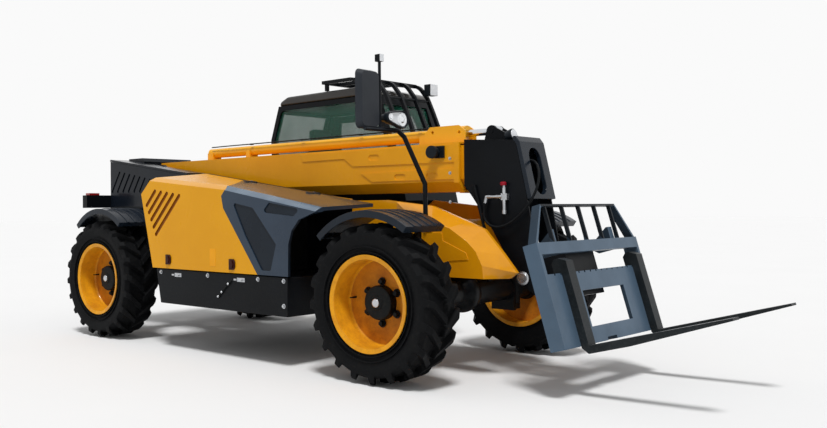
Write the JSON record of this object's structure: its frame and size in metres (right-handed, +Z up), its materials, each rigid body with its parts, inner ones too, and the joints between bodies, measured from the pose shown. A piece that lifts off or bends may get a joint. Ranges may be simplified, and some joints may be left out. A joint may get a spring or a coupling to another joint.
{
  "type": "telehandler",
  "caption": "Rigid-frame telescopic handler with side engine hood, left cab, rear-pivoted boom and a tilting carriage with load guard and forks.",
  "frame": {"origin": "on the ground, on the machine's centre line, midway between the back of the rear bar and the fork tips", "axes": "+X forward, +Y to the machine's left, +Z up"},
  "size_m": [6.072, 2.24, 2.357],
  "materials": {
    "yellow_enamel": "gloss",
    "black_enamel": "satin",
    "slate_plastic": "semi-gloss",
    "tyre_rubber": "matte",
    "cast_dark": "satin",
    "cab_glass": "clear, tinted",
    "seat_fabric": "matte",
    "chrome_rod": "polished",
    "fork_frame_enamel": "satin",
    "fork_steel": "satin",
    "lamp_lens": "clear",
    "zinc_fitting": "satin",
    "hose_rubber": "matte"
  },
  "bodies": {
    "chassis": {"chassis_frame": "yellow_enamel", "rear_bumper": "black_enamel", "front_axle": "black_enamel", "rear_axle": "black_enamel", "engine_block": "cast_dark", "side_skirt": "black_enamel", "rear_cover": "black_enamel", "cab_shell": "black_enamel", "cab_roof": "black_enamel", "cab_glass": "cab_glass", "seat": "seat_fabric", "steering_column": "slate_plastic", "cab_guard": "black_enamel", "side_tank": "black_enamel", "mirror_arms": "slate_plastic", "lamps": "lamp_lens"},
    "hood": {"hood_cover": "yellow_enamel", "hood_front_panel": "slate_plastic"},
    "door": {"cab_door": "black_enamel", "door_glass": "cab_glass"},
    "boom": {"outer_boom": "yellow_enamel", "extension_barrel": "yellow_enamel", "boom_lamp": "cast_dark"},
    "boom_slide": {"inner_boom": "black_enamel", "boom_head": "black_enamel", "head_cover": "slate_plastic", "extension_rod": "chrome_rod", "hose_couplings": "zinc_fitting", "loop_hose": "hose_rubber"},
    "lift_cylinder": {"lift_barrel": "yellow_enamel"},
    "lift_ram": {"lift_rod": "chrome_rod"},
    "tilt_cylinder": {"tilt_barrel": "black_enamel"},
    "tilt_ram": {"tilt_rod": "chrome_rod"},
    "carriage": {"tool_carrier": "black_enamel", "fork_frame": "fork_frame_enamel", "forks": "fork_steel"},
    "steer_front_left": {"knuckle_front_left": "cast_dark", "fender_front_left": "slate_plastic"},
    "wheel_front_left": {"tyre_front_left": "tyre_rubber", "rim_front_left": "yellow_enamel"},
    "steer_front_right": {"knuckle_front_right": "cast_dark", "fender_front_right": "slate_plastic"},
    "wheel_front_right": {"tyre_front_right": "tyre_rubber", "rim_front_right": "yellow_enamel"},
    "steer_rear_left": {"knuckle_rear_left": "cast_dark", "fender_rear_left": "slate_plastic"},
    "wheel_rear_left": {"tyre_rear_left": "tyre_rubber", "rim_rear_left": "yellow_enamel"},
    "steer_rear_right": {"knuckle_rear_right": "cast_dark", "fender_rear_right": "slate_plastic"},
    "wheel_rear_right": {"tyre_rear_right": "tyre_rubber", "rim_rear_right": "yellow_enamel"}
  },
  "joints": [
    {"name": "steer_front_left", "type": "hinge", "parent": "chassis", "child": "steer_front_left", "pos_m": [0.944, 0.72, 0.546], "axis": [0, 0, 1], "range_deg": [-30, 30]},
    {"name": "spin_front_left", "type": "hinge", "parent": "steer_front_left", "child": "wheel_front_left", "pos_m": [0.944, 0.94, 0.546], "axis": [0, 1, 0], "continuous": true},
    {"name": "steer_front_right", "type": "hinge", "parent": "chassis", "child": "steer_front_right", "pos_m": [0.944, -0.72, 0.546], "axis": [0, 0, 1], "range_deg": [-30, 30]},
    {"name": "spin_front_right", "type": "hinge", "parent": "steer_front_right", "child": "wheel_front_right", "pos_m": [0.944, -0.94, 0.546], "axis": [0, 1, 0], "continuous": true},
    {"name": "steer_rear_left", "type": "hinge", "parent": "chassis", "child": "steer_rear_left", "pos_m": [-2.35601, 0.72, 0.546], "axis": [0, 0, 1], "range_deg": [-30, 30]},
    {"name": "spin_rear_left", "type": "hinge", "parent": "steer_rear_left", "child": "wheel_rear_left", "pos_m": [-2.35601, 0.94, 0.546], "axis": [0, 1, 0], "continuous": true},
    {"name": "steer_rear_right", "type": "hinge", "parent": "chassis", "child": "steer_rear_right", "pos_m": [-2.35601, -0.72, 0.546], "axis": [0, 0, 1], "range_deg": [-30, 30]},
    {"name": "spin_rear_right", "type": "hinge", "parent": "steer_rear_right", "child": "wheel_rear_right", "pos_m": [-2.35601, -0.94, 0.546], "axis": [0, 1, 0], "continuous": true},
    {"name": "hood_hinge", "type": "hinge", "parent": "chassis", "child": "hood", "pos_m": [-1.696, -0.44, 1.545], "axis": [-0.9892, 0, 0.1469], "range_deg": [0, 65]},
    {"name": "door_hinge", "type": "hinge", "parent": "chassis", "child": "door", "pos_m": [-1.30601, 1.092, 1.5], "axis": [0, 0, 1], "range_deg": [0, 110]},
    {"name": "boom_lift", "type": "hinge", "parent": "chassis", "child": "boom", "pos_m": [-2.45601, 0, 1.5], "axis": [0, -1, 0], "range_deg": [0, 65]},
    {"name": "boom_extend", "type": "slide", "parent": "boom", "child": "boom_slide", "axis": [1, 0, 0], "range_m": [0, 2.4]},
    {"name": "carriage_tilt", "type": "hinge", "parent": "boom_slide", "child": "carriage", "pos_m": [1.594, 0, 0.7], "axis": [0, 1, 0], "range_deg": [0, 100]},
    {"name": "lift_cylinder_swing", "type": "hinge", "parent": "chassis", "child": "lift_cylinder", "pos_m": [-1.906, 0, 0.7], "axis": [0, -1, 0], "range_deg": [0, 59.21]},
    {"name": "lift_cylinder_stroke", "type": "slide", "parent": "lift_cylinder", "child": "lift_ram", "axis": [0.9363, 0, 0.3511], "range_m": [0, 1.0433]},
    {"name": "tilt_cylinder_swing", "type": "hinge", "parent": "boom_slide", "child": "tilt_cylinder", "pos_m": [1.314, 0, 1.48], "axis": [0, 1, 0], "range_deg": [-6.87, 0]},
    {"name": "tilt_cylinder_stroke", "type": "slide", "parent": "tilt_cylinder", "child": "tilt_ram", "axis": [0.4245, 0, -0.9054], "range_m": [0, 0.2474]}
  ],
  "couplings": [
    {"joint": "steer_front_right", "follows": "steer_front_left", "ratio": 1},
    {"joint": "steer_rear_right", "follows": "steer_rear_left", "ratio": 1},
    {"joint": "lift_cylinder_swing", "follows": "boom_lift", "ratio": 0.90316},
    {"joint": "lift_cylinder_stroke", "follows": "boom_lift", "m_per_rad": 0.91519},
    {"joint": "tilt_cylinder_swing", "follows": "carriage_tilt", "ratio": -0.06368},
    {"joint": "tilt_cylinder_stroke", "follows": "carriage_tilt", "m_per_rad": 0.14002}
  ]
}
